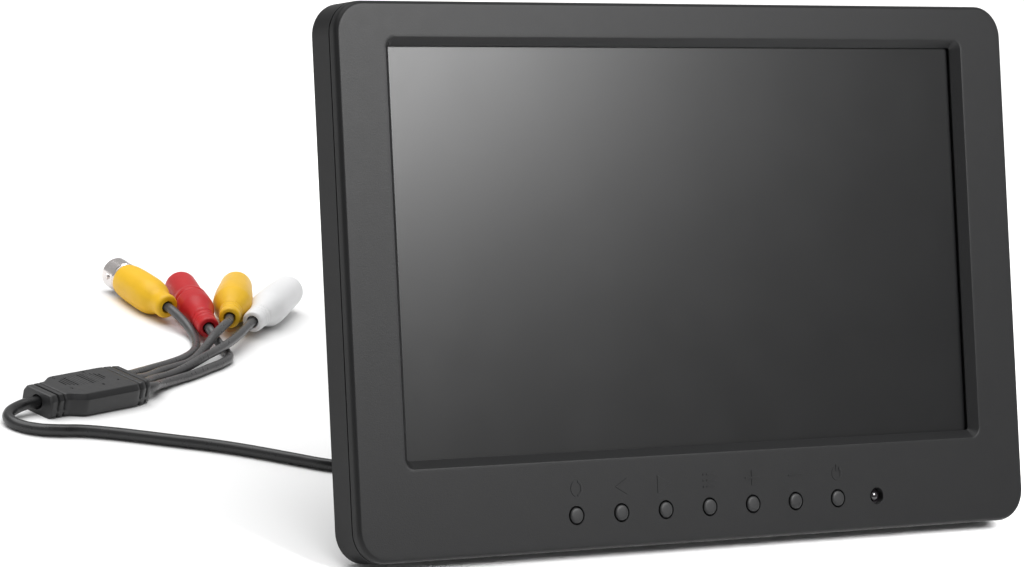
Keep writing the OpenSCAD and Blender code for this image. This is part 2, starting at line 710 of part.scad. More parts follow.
module yellow_overmould() {
    phono_overmould(yellow_tail, yellow_turn, yellow_tilt, yellow_bulb_r, "#e6bb50");
}
module yellow_shell() { phono_shell(yellow_tail, yellow_turn, yellow_tilt); }
module yellow_insulator() { phono_insulator(yellow_tail, yellow_turn, yellow_tilt); }
module yellow_contact() { phono_contact(yellow_tail, yellow_turn, yellow_tilt); }
module white_overmould() {
    phono_overmould(white_tail, white_turn, white_tilt, white_bulb_r, "#e9e9ea");
}
module white_shell() { phono_shell(white_tail, white_turn, white_tilt); }
module white_insulator() { phono_insulator(white_tail, white_turn, white_tilt); }
module white_contact() { phono_contact(white_tail, white_turn, white_tilt); }
module red_overmould() {
    phono_overmould(red_tail, red_turn, red_tilt, red_bulb_r, "#c9363c");
}
module red_shell() { phono_shell(red_tail, red_turn, red_tilt); }
module red_insulator() { phono_insulator(red_tail, red_turn, red_tilt); }
module red_contact() { phono_contact(red_tail, red_turn, red_tilt); }

front_bezel();
rear_cover();
lcd_glass();
lcd_frame();
backlight_unit();
foam_gasket();
main_board();
board_chips();
board_capacitors();
harness_header();
lcd_flex();
button_board();
button_flex();
tact_switches();
button_source();
button_left();
button_right();
button_menu();
button_plus();
button_minus();
button_power();
ir_lens();
ir_receiver();
speaker_frame();
speaker_cone();
case_screws();
board_screws();
mount_inserts();
hinge_bracket();
kickstand();
hinge_pin();
hinge_washers();
kickstand_pad();
cable_gland();
inner_lead();
main_cable();
splitter_block();
lead_bnc();
lead_yellow();
lead_white();
lead_red();
bnc_overmould();
bnc_shell();
bnc_insulator();
bnc_contact();
yellow_overmould();
yellow_shell();
yellow_insulator();
yellow_contact();
white_overmould();
white_shell();
white_insulator();
white_contact();
red_overmould();
red_shell();
red_insulator();
red_contact();
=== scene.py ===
"""A vehicle monitor on its rear leg, with its moulded audio and video harness, on a pale studio floor.

Everything is in metres in the row frame. Pieces of the monitor are drawn in millimetres in its upright frame
(front face at y = 0, bottom edge at z = 0, x from the middle) and put in place by LEANED.
"""

import json
import math

import bmesh
import bpy
from mathutils import Matrix, Vector


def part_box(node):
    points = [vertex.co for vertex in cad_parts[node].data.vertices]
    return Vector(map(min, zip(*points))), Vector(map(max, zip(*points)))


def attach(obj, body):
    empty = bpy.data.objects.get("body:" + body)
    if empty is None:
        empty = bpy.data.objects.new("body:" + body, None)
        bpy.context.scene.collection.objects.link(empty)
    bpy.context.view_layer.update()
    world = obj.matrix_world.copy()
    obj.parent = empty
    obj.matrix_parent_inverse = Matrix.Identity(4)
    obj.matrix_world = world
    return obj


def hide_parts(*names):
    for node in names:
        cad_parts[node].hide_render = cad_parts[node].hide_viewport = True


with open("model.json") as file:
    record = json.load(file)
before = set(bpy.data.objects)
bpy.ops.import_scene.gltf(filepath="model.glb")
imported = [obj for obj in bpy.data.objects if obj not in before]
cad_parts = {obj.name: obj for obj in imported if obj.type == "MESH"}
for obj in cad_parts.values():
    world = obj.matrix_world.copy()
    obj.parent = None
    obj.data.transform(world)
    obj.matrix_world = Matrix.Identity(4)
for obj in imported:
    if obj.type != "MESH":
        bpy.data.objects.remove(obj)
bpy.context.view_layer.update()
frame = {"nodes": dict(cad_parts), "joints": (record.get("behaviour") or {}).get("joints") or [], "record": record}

MM = 0.001
SCALE = Matrix.Scale(MM, 4)
NODES = frame["nodes"]

# The monitor's lean, and the hinge of its leg in the upright frame
RECLINE = math.radians(22)
HINGE_UPRIGHT = Vector((0, 34, 96)) * MM
HINGE_PLACE = next(j["pos_m"] for j in frame["joints"] if j["name"] == "leg_hinge")
LEANED = (Matrix.Translation(HINGE_PLACE) @ Matrix.Rotation(-RECLINE, 4, "X")
          @ Matrix.Translation(-HINGE_UPRIGHT) @ SCALE)
BACKWARDS = Matrix.Rotation(math.radians(-90), 4, "X")

# Sizes of the monitor, in millimetres
CASE_W, CASE_H, CASE_R = 235, 150.7, 9
CASE_MID = CASE_H / 2
BEZEL_D = 3.2
OPENING_W, OPENING_H, OPENING_R, OPENING_MID = 203, 116, 3, 82.8
SLOPE_RUN, SLOPE_DEPTH = 2.2, 2.4
TONGUE_OUT, TONGUE_IN, TONGUE_Y = 2.4, 3.8, 6.5
BUTTON_X, BUTTON_PITCH, BUTTON_Z = -45.6, 15.45, 9.6
BUTTON_HOLE_R = 2.58
KEYS = ["source", "left", "right", "menu", "plus", "minus", "power"]
IR_X = BUTTON_X + len(KEYS) * BUTTON_PITCH - 1
IR_HOLE_R = 2.4
SCREW_X, SCREW_Z = 110, (13, 76, 139)
GLAND = Vector((-50, 29, 40))
GLAND_L = 12

# Sizes and places of the harness, in millimetres
CABLE_DIA, LEAD_DIA = 3.4, 2.7
BLOCK_MID, BLOCK_TURN = Vector((-124.9, 87.5, 0)), math.radians(16)
BLOCK_L, BLOCK_W, BLOCK_H = 39.4, 17.4, 6.8
BLOCK_NOSE_L, BLOCK_LEAD_END_L = 6.6, 9
PORTS = {"bnc": 5.9, "yellow": 2.5, "white": -0.9, "red": -4.3}
STRAIGHT_IN, STRAIGHT_OUT = 2.5, 4
CABLE_ROUTE = [(-51.5, 14.5, 20.5), (-55.5, 19, 13.5), (-61, 22, 7.5), (-67.5, 24, 3.4), (-74, 26, 1.9),
               (-80, 29, 1.8), (-86, 33.5, 1.8), (-92.5, 38.5, 1.8), (-99.5, 43.5, 1.8), (-107, 48, 1.8),
               (-115, 52, 1.8), (-123, 56, 1.8), (-131.5, 60, 1.8), (-140, 63, 1.8), (-146.5, 64, 1.8),
               (-152.2, 65.6, 1.8), (-156.2, 69, 1.8), (-157.2, 73.4, 2), (-155.2, 77.2, 2.4),
               (-151.6, 79.6, 2.9)]
LEAD_ROUTES = {
    "bnc": [(-97.5, 104, 2.4), (-89, 109, 1.6), (-81, 112.8, 1.4), (-74, 116.6, 1.4), (-67.5, 121.8, 1.4),
            (-63, 128, 1.5), (-60.4, 134.5, 2.1), (-60.2, 140.6, 3.9)],
    "yellow": [(-96.5, 100.6, 2.3), (-88.5, 106, 1.6), (-81, 109.6, 1.4), (-73.5, 113.2, 1.6),
               (-66, 118.6, 3.5), (-59.5, 123.8, 5.9), (-54.6, 127.9, 6.6)],
    "white": [(-96.3, 97.8, 2.4), (-87.5, 102.4, 1.8), (-79.5, 106.3, 2.4), (-71, 110.4, 3.9),
              (-61, 116.8, 4.3), (-50.5, 125, 4.6)],
    "red": [(-95.5, 94.4, 2.2), (-87.5, 98.9, 1.6), (-79, 103, 1.4), (-71, 107.4, 1.4), (-63.5, 111.6, 1.4),
            (-58.6, 115.8, 1.4), (-57, 120.6, 1.6), (-57.5, 124.8, 3.1)],
}
# Where each connector's cable end lies, its heading on the floor and its tilt upwards, in degrees
TAILS = {"bnc": ((-61.5, 148.6, 5.68), 90, 0), "yellow": ((-47.8, 135, 6.58), 55.2, -1.5),
         "white": ((-39.6, 134.6, 5.26), 40.8, 1.4), "red": ((-57.3, 131, 5.12), 73.3, 1.2)}
BNC_L, BNC_SHELL_R, BNC_SHELL_L, BNC_ROOT, BNC_CAVITY = 25, 4.85, 7, 7, 3
PHONO_L, PHONO_SLEEVE_R, PHONO_MOUTH_R, PHONO_SHELL_R, PHONO_DEPTH, PHONO_ROOT = 37, 4.95, 4.4, 4.15, 9, 4
BULB_R = {"yellow": 6, "white": 5.6, "red": 5.4}

# ---------------------------------------------------------------- camera


def place_camera():
    """The camera stands to the left and a little above, rolled as the picture is."""
    eye = Vector((-0.834, -1.024, 0.4455))
    turn, dip, roll = math.radians(37.51), math.radians(16.42), math.radians(10.46)
    forward = Vector((math.sin(turn) * math.cos(dip), math.cos(turn) * math.cos(dip), -math.sin(dip)))
    level = Vector((math.cos(turn), -math.sin(turn), 0))
    rise = level.cross(forward)
    right = math.cos(roll) * level + math.sin(roll) * rise
    up = math.cos(roll) * rise - math.sin(roll) * level
    data = bpy.data.cameras.new("camera")
    data.sensor_width = 36
    data.lens = 170.4
    data.clip_start = 0.05
    data.clip_end = 50
    camera = bpy.data.objects.new("camera", data)
    camera.matrix_world = Matrix((
        (right.x, up.x, -forward.x, eye.x), (right.y, up.y, -forward.y, eye.y),
        (right.z, up.z, -forward.z, eye.z), (0, 0, 0, 1)))
    bpy.context.scene.collection.objects.link(camera)
    bpy.context.scene.camera = camera


# ---------------------------------------------------------------- cords


def heading(turn, tilt):
    """A vector of length 1 from a heading and a tilt in degrees."""
    turn, tilt = math.radians(turn), math.radians(tilt)
    return Vector((math.cos(turn) * math.cos(tilt), math.sin(turn) * math.cos(tilt), math.sin(tilt)))


def on_block(along, across):
    """A point at half the splitter block's height, in millimetres."""
    axis = Vector((math.cos(BLOCK_TURN), math.sin(BLOCK_TURN), 0))
    side = Vector((-math.sin(BLOCK_TURN), math.cos(BLOCK_TURN), 0))
    return BLOCK_MID + Vector((0, 0, BLOCK_H / 2)) + along * axis + across * side


def cord_curve(name, points, diameter):
    """A round cord on one smooth curve through points in millimetres."""
    data = bpy.data.curves.new(name, "CURVE")
    data.dimensions = "3D"
    data.resolution_u = 10
    data.bevel_depth = diameter / 2
    data.bevel_resolution = 7
    data.use_fill_caps = True
    spline = data.splines.new("BEZIER")
    spline.bezier_points.add(len(points) - 1)
    for spot, point in zip(spline.bezier_points, points):
        spot.co = Vector(point) * MM
        spot.handle_left_type = "AUTO"
        spot.handle_right_type = "AUTO"
        spot.radius = MM
    cord = bpy.data.objects.new(name, data)
    bpy.context.scene.collection.objects.link(cord)
    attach(cord, "monitor")
    return cord


# ---------------------------------------------------------------- mesh tools


def solid(name, points, faces, place, sharp=32):
    """A closed mesh from points in millimetres, shaded smooth but for edges sharper than an angle."""
    mesh = bpy.data.meshes.new(name)
    mesh.from_pydata([place @ Vector(p) for p in points], [], faces)
    obj = bpy.data.objects.new(name, mesh)
    bpy.context.scene.collection.objects.link(obj)
    finish_mesh(obj, sharp)
    return obj


def finish_mesh(obj, sharp=32):
    """Welds doubled points, turns the faces outwards and sets the shading."""
    shape = bmesh.new()
    shape.from_mesh(obj.data)
    bmesh.ops.remove_doubles(shape, verts=shape.verts, dist=1e-6)
    bmesh.ops.recalc_face_normals(shape, faces=shape.faces)
    shape.to_mesh(obj.data)
    shape.free()
    obj.data.shade_smooth()
    obj.data.set_sharp_from_angle(angle=math.radians(sharp))
    if "weighted" not in obj.modifiers:
        weighted = obj.modifiers.new("weighted", "WEIGHTED_NORMAL")
        weighted.keep_sharp = True


def skin(rings, closed=False):
    """Points and faces that join rings of equal count; closed joins the last ring to the first."""
    count = len(rings[0])
    points = [p for ring in rings for p in ring]
    faces = []
    for i in range(len(rings) if closed else len(rings) - 1):
        a, b = i * count, (i + 1) % len(rings) * count
        faces += [(a + k, a + (k + 1) % count, b + (k + 1) % count, b + k) for k in range(count)]
    if not closed:
        last = (len(rings) - 1) * count
        faces += [tuple(reversed(range(count))), tuple(range(last, last + count))]
    return points, faces


def turned(profile, sides=72):
    """Rings of a turned shape round +Z from its (radius, height) profile."""
    rings = []
    for r, z in profile:
        r = max(r, 1e-5)
        rings.append([(r * math.cos(2 * math.pi * k / sides), r * math.sin(2 * math.pi * k / sides), z)
                      for k in range(sides)])
    return skin(rings)


def join_shapes(shapes):
    """One list of points and faces from several (points, faces, matrix)."""
    points, faces = [], []
    for some_points, some_faces, place in shapes:
        start = len(points)
        points += [place @ Vector(p) for p in some_points]
        faces += [tuple(start + i for i in face) for face in some_faces]
    return points, faces


def rounded(w, h, r, steps=12):
    """The outline of a rounded rectangle round the origin."""
    out = []
    for cx, cz, start in ((w / 2 - r, h / 2 - r, 0), (r - w / 2, h / 2 - r, 90),
                          (r - w / 2, r - h / 2, 180), (w / 2 - r, r - h / 2, 270)):
        for i in range(steps + 1):
            a = math.radians(start + 90 * i / steps)
            out.append((cx + r * math.cos(a), cz + r * math.sin(a)))
    return out


def box_ring(w, h, r, y, mid):
    """A rounded rectangle at a depth in the upright frame."""
    return [(x, y, z + mid) for x, z in rounded(w, h, r)]


def prism(outline, z0, z1, bevel=0):
    """Points and faces of an outline in X and Y, raised from z0 to z1, its top drawn in by a bevel."""
    mid = Vector((sum(x for x, _ in outline), sum(y for _, y in outline))) / len(outline)
    rings = [[(x, y, z0) for x, y in outline], [(x, y, z1 - bevel) for x, y in outline]]
    if bevel:
        rings.append([])
        for x, y in outline:
            away = Vector((x, y)) - mid
            x, y = mid + away * max(0.3, 1 - bevel / max(away.length, 0.01))
            rings[-1].append((x, y, z1))
    return skin(rings)


def cut_out(obj, points, faces, place):
    """Cuts a tool out of obj and keeps the result as its mesh."""
    tool = solid(obj.name + "_tool", points, faces, place)
    cut = obj.modifiers.new("cut", "BOOLEAN")
    cut.operation = "DIFFERENCE"
    cut.solver = "EXACT"
    cut.object = tool
    for other in obj.modifiers:
        other.show_viewport = other == cut
    done = bpy.data.meshes.new_from_object(obj.evaluated_get(bpy.context.evaluated_depsgraph_get()))
    obj.modifiers.remove(cut)
    obj.data = done
    bpy.data.objects.remove(tool)
    for other in obj.modifiers:
        other.show_viewport = True
    finish_mesh(obj)


def softened(obj, width):
    """Rounds the sharp edges of a CAD node, so many millimetres wide, by modifiers alone."""
    weld = obj.modifiers.new("weld", "WELD")
    weld.merge_threshold = 0.002 * MM
    bevel = obj.modifiers.new("soft_edges", "BEVEL")
    bevel.width = width * MM
    bevel.segments = 2
    bevel.limit_method = "ANGLE"
    bevel.angle_limit = math.radians(30)
    bevel.use_clamp_overlap = True
    bevel.harden_normals = False
    weighted = obj.modifiers.new("weighted", "WEIGHTED_NORMAL")
    weighted.keep_sharp = True


# ---------------------------------------------------------------- materials


class Look:
    """A procedural material that is put together from a few kinds of detail."""

    def __init__(self, name, rough, metal=0.0, specular=0.5):
        self.material = bpy.data.materials.new(name)
        self.material.use_nodes = True
        self.tree = self.material.node_tree
        self.shader = self.tree.nodes["Principled BSDF"]
        self.shader.inputs["Metallic"].default_value = metal
        self.shader.inputs["Specular IOR Level"].default_value = specular
        self.shader.inputs["Roughness"].default_value = rough
        self.rough = rough
        self.place = self.tree.nodes.new("ShaderNodeTexCoord").outputs["Object"]
        self.height = None

    def node(self, kind, **values):
        """A shader node with constants on its inputs, an underscore standing for a space."""
        made = self.tree.nodes.new(kind)
        for key, value in values.items():
            made.inputs[key.replace("_", " ")].default_value = value
        return made

    def stretched(self, scale):
        """Object coordinates, stretched along an axis."""
        mapping = self.node("ShaderNodeMapping")
        mapping.inputs["Scale"].default_value = scale
        self.tree.links.new(self.place, mapping.inputs["Vector"])
        return mapping.outputs["Vector"]

    def noise(self, per_mm, detail=4, place=None):
        """Noise with so many features in each millimetre."""
        noise = self.node("ShaderNodeTexNoise", Scale=per_mm / MM, Detail=detail, Roughness=0.6)
        self.tree.links.new(place or self.place, noise.inputs["Vector"])
        return noise.outputs["Fac"]

    def ramp(self, source, low, high, start=0.3, end=0.7):
        """A colour that runs from low to high."""
        ramp = self.tree.nodes.new("ShaderNodeValToRGB")
        ramp.color_ramp.elements[0].position = start
        ramp.color_ramp.elements[0].color = (*low, 1)
        ramp.color_ramp.elements[1].position = end
        ramp.color_ramp.elements[1].color = (*high, 1)
        self.tree.links.new(source, ramp.inputs["Fac"])
        return ramp.outputs["Color"]

    def spread(self, source, low, high):
        """A number that runs from low to high."""
        spread = self.node("ShaderNodeMapRange", From_Min=0.25, From_Max=0.75, To_Min=low, To_Max=high)
        self.tree.links.new(source, spread.inputs["Value"])
        return spread.outputs["Result"]

    def tinted(self, colour, vary=0.08, per_mm=0.12):
        """The base colour, a little lighter and darker from place to place."""
        low = tuple(c * (1 - vary) for c in colour)
        high = tuple(min(1, c * (1 + vary)) for c in colour)
        self.tree.links.new(self.ramp(self.noise(per_mm), low, high), self.shader.inputs["Base Color"])
        return self

    def worn(self, vary=0.06, per_mm=0.5):
        """A roughness that varies, as handling leaves it."""
        low, high = max(0.02, self.rough - vary), min(1, self.rough + vary)
        self.tree.links.new(self.spread(self.noise(per_mm), low, high), self.shader.inputs["Roughness"])
        return self

    def bumped(self, height, depth, strength=1.0):
        """Adds a relief so many millimetres deep on top of what is there."""
        bump = self.node("ShaderNodeBump", Strength=strength, Distance=depth * MM)
        self.tree.links.new(height, bump.inputs["Height"])
        if self.height is not None:
            self.tree.links.new(self.height, bump.inputs["Normal"])
        self.height = bump.outputs["Normal"]
        self.tree.links.new(self.height, self.shader.inputs["Normal"])
        return self

    def grain(self, per_mm, depth, strength=1.0):
        """Fine moulded grain."""
        return self.bumped(self.noise(per_mm, detail=3), depth, strength)

    def cells(self, per_mm, depth):
        """Rounded cells, as of foam or a knurl."""
        cells = self.node("ShaderNodeTexVoronoi", Scale=per_mm / MM)
        self.tree.links.new(self.place, cells.inputs["Vector"])
        return self.bumped(cells.outputs["Distance"], depth)


def moulded(name, colour, rough=0.5, per_mm=2.2, depth=0.03, vary=0.06, specular=0.5):
    """Moulded plastic or rubber: a grain, a slight cloudiness and uneven gloss."""
    look = Look(name, rough, specular=specular).tinted(colour, vary).worn()
    return look.grain(per_mm, depth)


def drawn_metal(name, colour, rough, stretch=(1, 0.04, 1), depth=0.004):
    """Metal with fine lines left by its making."""
    look = Look(name, rough, metal=1.0).tinted(colour, 0.05, 0.2)
    lines = look.noise(6, place=look.stretched(stretch))
    look.tree.links.new(look.spread(lines, rough * 0.8, rough * 1.3), look.shader.inputs["Roughness"])
    return look.bumped(lines, depth)


def circuit_look():
    """Green solder mask over copper tracks and pads."""
    look = Look("circuit_board", 0.32)
    tracks = look.node("ShaderNodeTexBrick", Scale=0.22 / MM, Mortar_Size=0.012, Bias=0.1)
    tracks.inputs["Color1"].default_value = (0.012, 0.13, 0.045, 1)
    tracks.inputs["Color2"].default_value = (0.016, 0.17, 0.06, 1)
    tracks.inputs["Mortar"].default_value = (0.03, 0.3, 0.1, 1)
    look.tree.links.new(look.place, tracks.inputs["Vector"])
    look.tree.links.new(tracks.outputs["Color"], look.shader.inputs["Base Color"])
    look.bumped(tracks.outputs["Fac"], 0.04)
    return look.worn(0.05).grain(1.2, 0.01)


def flex_look():
    """Amber film with a row of fine conductors."""
    look = Look("flex", 0.3)
    lines = look.node("ShaderNodeTexWave", Scale=0.5 / MM, Distortion=0.0)
    look.tree.links.new(look.place, lines.inputs["Vector"])
    look.tree.links.new(look.ramp(lines.outputs["Fac"], (0.34, 0.13, 0.025), (0.62, 0.3, 0.07)),
                        look.shader.inputs["Base Color"])
    return look.bumped(lines.outputs["Fac"], 0.02).worn(0.05)


def screen_look():
    """The panel's anti-glare film: dark, with a broad soft sheen and a fine tooth."""
    look = Look("screen", 0.29, specular=0.28).tinted((0.0022, 0.0023, 0.0025), 0.1, 0.02).worn(0.012, 0.05)
    return look.grain(9, 0.0012)


def case_look():
    """Black spark-textured plastic, its gloss lifted a little where hands rub it."""
    look = Look("case", 0.43, specular=0.16).tinted((0.0068, 0.0069, 0.0072), 0.03, 0.08).worn(0.012, 0.25)
    return look.grain(2.6, 0.035).grain(6, 0.012)


def knurled_brass():
    """Brass with the raised cells of a knurl."""
    look = Look("brass", 0.28, metal=1.0).tinted((0.62, 0.43, 0.17), 0.06).worn(0.08)
    return look.cells(2.2, 0.12)


def cable_look(name, colour):
    """Soft PVC sheath with faint marks of its extrusion."""
    look = Look(name, 0.3).tinted(colour, 0.08, 0.25).worn(0.06, 0.7)
    return look.grain(1.1, 0.02).grain(5, 0.006)


def bright_nickel():
    """Nickel plate with faint marks along the barrel."""
    look = Look("nickel", 0.2, metal=1.0).tinted((0.71, 0.67, 0.655), 0.04, 0.3)
    marks = look.noise(5, place=look.stretched((1, 1, 0.1)))
    look.tree.links.new(look.spread(marks, 0.15, 0.3), look.shader.inputs["Roughness"])
    return look.bumped(marks, 0.006)


def foam_look():
    """Open-celled black foam."""
    return Look("foam", 0.95, specular=0.2).tinted((0.016, 0.016, 0.017), 0.2, 0.8).cells(3, 0.15)


def cone_look():
    """Speaker paper: short pressed fibres."""
    look = Look("cone", 0.85, specular=0.2).tinted((0.07, 0.062, 0.055), 0.25, 1.5)
    return look.bumped(look.noise(3, place=look.stretched((1, 1, 0.3))), 0.08)


def make_looks():
    """One material for each material slot of the record.

    After its colour, a moulded look has its roughness, its grains in each millimetre, their depth in
    millimetres and how far the colour varies; a drawn metal has its roughness, the stretch of its lines and
    their depth.
    """
    looks = {
        "case": case_look(),
        "button": moulded("button", (0.0082, 0.0083, 0.0087), 0.46, 3, 0.02, specular=0.26),
        "screen": screen_look(),
        "metal_frame": drawn_metal("metal_frame", (0.58, 0.59, 0.6), 0.34),
        "backlight": moulded("backlight", (0.82, 0.83, 0.84), 0.3, 1.5, 0.01, 0.02),
        "foam": foam_look(),
        "circuit_board": circuit_look(),
        "chip": moulded("chip", (0.02, 0.02, 0.022), 0.55, 3, 0.02),
        "capacitor": moulded("capacitor", (0.04, 0.075, 0.19), 0.25, 1.2, 0.008),
        "header": moulded("header", (0.78, 0.74, 0.64), 0.42, 2, 0.01, 0.03),
        "flex": flex_look(),
        "lens": moulded("lens", (0.006, 0.005, 0.006), 0.06, 0.8, 0.002, specular=0.6),
        "cone": cone_look(),
        "screw": drawn_metal("screw", (0.16, 0.165, 0.175), 0.35, (0.2, 1, 1), 0.006),
        "steel": drawn_metal("steel", (0.56, 0.57, 0.59), 0.24, (0.05, 1, 1)),
        "brass": knurled_brass(),
        "nylon": moulded("nylon", (0.72, 0.71, 0.66), 0.5, 1.5, 0.012, 0.03),
        "rubber": moulded("rubber", (0.016, 0.016, 0.017), 0.75, 1.8, 0.05),
        "cable": cable_look("cable", (0.014, 0.014, 0.0147)),
        "block": moulded("block", (0.023, 0.023, 0.024), 0.44, 1.8, 0.02),
        "lead": cable_look("lead", (0.07, 0.069, 0.07)),
        "yellow": moulded("yellow", (0.74, 0.43, 0.01), 0.42, 1.4, 0.012, 0.05, 0.35),
        "red": moulded("red", (0.46, 0.01, 0.014), 0.42, 1.4, 0.012, 0.05, 0.35),
        "white": moulded("white", (0.74, 0.74, 0.745), 0.42, 1.4, 0.012, 0.02),
        "nickel": bright_nickel(),
        "gold": drawn_metal("gold", (0.82, 0.6, 0.24), 0.22, (1, 1, 0.1)),
        "insulator": moulded("insulator", (0.84, 0.84, 0.8), 0.45, 1.2, 0.006, 0.02),
        "black_insulator": moulded("black_insulator", (0.02, 0.02, 0.021), 0.5, 1.6, 0.01),
    }
    return {slot: look.material for slot, look in looks.items()}


def dress(obj, slot):
    """Gives a piece the material of a record slot."""
    obj.data.materials.clear()
    obj.data.materials.append(LOOKS[slot])


def piece(name, shape, place, slot, body, *replaced, sharp=32):
    """A new piece: its mesh, its material, the body it rides on and the CAD nodes it stands for."""
    obj = solid(name, *shape, place, sharp)
    dress(obj, slot)
    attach(obj, body)
    if replaced:
        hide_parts(*replaced)
    return obj


# ---------------------------------------------------------------- monitor


def at_front(x, z):
    """Turns +Z into the depth of the monitor, at a place on its front."""
    return LEANED @ Matrix.Translation((x, 0, z)) @ BACKWARDS


def front_hole(r):
    """The tool for a round hole through the front, opened out at its mouth."""
    flare, flare_depth, before, behind = 0.62, 0.12, -0.5, 5
    return turned([(0, before), (r + flare, before), (r, flare_depth), (r, behind), (0, behind)])


def make_bezel():
    """The front frame: a rounded outer edge, a sloping border round the screen and a tongue behind."""
    edge_in, edge_deep, lip = 1.1, 1.5, 0.2
    edge_steps = 8
    post_bore_r, post_r, post_start, post_end = 1.35, 3, BEZEL_D - 0.4, 10.3
    rings = []

    def outer(inset, y):
        rings.append(box_ring(CASE_W - 2 * inset, CASE_H - 2 * inset, CASE_R - inset, y, CASE_MID))

    def inner(inset, r, y):
        rings.append(box_ring(OPENING_W - 2 * inset, OPENING_H - 2 * inset, r, y, OPENING_MID))

    outer(TONGUE_IN, BEZEL_D)
    outer(TONGUE_IN, TONGUE_Y)
    outer(TONGUE_OUT, TONGUE_Y)
    outer(TONGUE_OUT, BEZEL_D)
    outer(lip, BEZEL_D)
    outer(lip / 4, BEZEL_D - lip / 4)
    outer(0, BEZEL_D - lip)
    for i in range(edge_steps + 1):
        a = math.radians(90 * i / edge_steps)
        outer(edge_in * (1 - math.cos(a)), edge_deep * (1 - math.sin(a)))
    outer(edge_in + 1, 0)
    inner(-1, OPENING_R + 1, 0)
    inner(-0.25, OPENING_R + 0.25, 0)
    inner(-0.07, OPENING_R + 0.07, 0.05)
    inner(0.08, OPENING_R - 0.08, 0.2)
    inner(SLOPE_RUN - 0.12, 0.8, SLOPE_DEPTH - 0.12)
    inner(SLOPE_RUN, 0.7, SLOPE_DEPTH + 0.1)
    inner(SLOPE_RUN, 0.7, BEZEL_D)
    bezel = solid("front_frame", *skin(rings, closed=True), LEANED)

    hole = front_hole(BUTTON_HOLE_R)
    holes = [(*hole, Matrix.Translation((BUTTON_X + i * BUTTON_PITCH, 0, BUTTON_Z)) @ BACKWARDS)
             for i in range(len(KEYS))]
    holes.append((*front_hole(IR_HOLE_R), Matrix.Translation((IR_X, 0, BUTTON_Z)) @ BACKWARDS))
    cut_out(bezel, *join_shapes(holes), LEANED)

    post = turned([(post_bore_r, post_start), (post_r, post_start), (post_r, post_end),
                   (post_bore_r, post_end)])
    bosses = [(*post, Matrix.Translation((sx * SCREW_X, 0, z)) @ BACKWARDS)
              for sx in (-1, 1) for z in SCREW_Z]
    piece("screw_posts", join_shapes(bosses), LEANED, "case", "monitor")
    dress(bezel, "case")
    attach(bezel, "monitor")
    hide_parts("front_bezel")


def arc_stroke(rx, rz, start, end, stroke, steps=14):
    """The outline of a bent stroke along an ellipse."""
    outside, inside = [], []
    for i in range(steps + 1):
        a = math.radians(start + (end - start) * i / steps)
        outside.append(((rx + stroke / 2) * math.cos(a), (rz + stroke / 2) * math.sin(a)))
        inside.append(((rx - stroke / 2) * math.cos(a), (rz - stroke / 2) * math.sin(a)))
    return outside + inside[::-1]


def bar(w, h, x=0, z=0):
    """The outline of an upright bar."""
    return [(x - w / 2, z - h / 2), (x + w / 2, z - h / 2), (x + w / 2, z + h / 2), (x - w / 2, z + h / 2)]


def make_icons():
    """The raised signs above the buttons."""
    proud, depth, bevel, stroke = 0.13, 0.3, 0.08, 0.55
    signs = [
        (-45.3, 17, [arc_stroke(1.75, 2.0, 100, 255, stroke), arc_stroke(1.75, 2.0, -80, 75, stroke)]),
        (-30.1, 16.8, [[(-1.95, 0), (1.95, -2.2), (1.95, 2.2)]]),
        (-14.9, 16.8, [[(2.5, 0), (-2.5, 2.5), (-2.5, -2.5)]]),
        (0.9, 17, [bar(3.2, stroke, 0.6, z) for z in (-1.7, 0, 1.7)]
         + [bar(stroke, stroke, -2, z) for z in (-1.7, 0, 1.7)]),
        (16.2, 17, [bar(5, stroke), bar(stroke, 1.9, 0, 1.2), bar(stroke, 1.9, 0, -1.2)]),
        (31.8, 17, [bar(5.2, stroke)]),
        (47, 16.8, [arc_stroke(1.6, 1.75, 122, 418, stroke, 26), bar(stroke, 2, 0, 1.5)]),
    ]
    shapes = []
    for x, z, outlines in signs:
        for outline in outlines:
            lifted = prism(outline, -depth, proud, bevel)
            facing = Matrix.Translation((x, 0, z)) @ Matrix.Rotation(math.radians(90), 4, "X")
            shapes.append((*lifted, facing))
    piece("button_signs", join_shapes(shapes), LEANED, "case", "monitor", sharp=25)


def make_buttons():
    """Seven caps with a soft shoulder, each on its own body."""
    profile = [(0, -0.4), (1.2, -0.39), (1.7, -0.35), (1.95, -0.28), (2.1, -0.16), (2.18, 0), (2.2, 0.2),
               (2.2, 3.3), (3.2, 3.3), (3.3, 3.4), (3.3, 4), (3.2, 4.1), (0, 4.1)]
    for i, key in enumerate(KEYS):
        place = at_front(BUTTON_X + i * BUTTON_PITCH, BUTTON_Z)
        piece("cap_" + key, turned(profile), place, "button", "key_" + key, "button_" + key)


def make_ir_window():
    """A dark glossy dome at the bottom of its hole."""
    profile = [(0, 0.5)]
    for turn in range(10, 91, 10):
        a = math.radians(turn)
        profile.append((1.6 * math.sin(a), 1.6 - 1.1 * math.cos(a)))
    profile += [(1.75, 1.62), (2.3, 1.65), (2.3, 3.2), (0, 3.2)]
    piece("ir_window", turned(profile), at_front(IR_X, BUTTON_Z), "lens", "monitor", "ir_lens")


